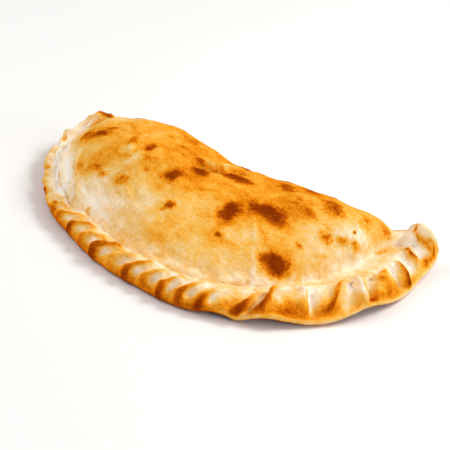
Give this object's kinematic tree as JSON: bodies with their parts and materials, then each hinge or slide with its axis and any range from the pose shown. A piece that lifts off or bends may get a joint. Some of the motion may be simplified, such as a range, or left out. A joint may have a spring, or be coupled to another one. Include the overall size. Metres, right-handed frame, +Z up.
{
  "type": "calzone",
  "caption": "Large folded calzone: half-moon of baked dough with a domed, blistered top, a smooth folded back and a crimped, twisted rim.",
  "frame": {"origin": "centre of the bounding box in plan, on the surface it rests on", "axes": "+Z up, +X along the fold towards the end whose crimp stands up, -Y towards the crimped edge, +Y towards the folded back"},
  "size_m": [0.281, 0.1709, 0.0524],
  "materials": {
    "crust": "baked dough, golden with dark blisters, floured pale sides and a browned crimp, matt with a slight sheen"
  },
  "bodies": {
    "root": {"calzone": "crust"}
  },
  "joints": []
}
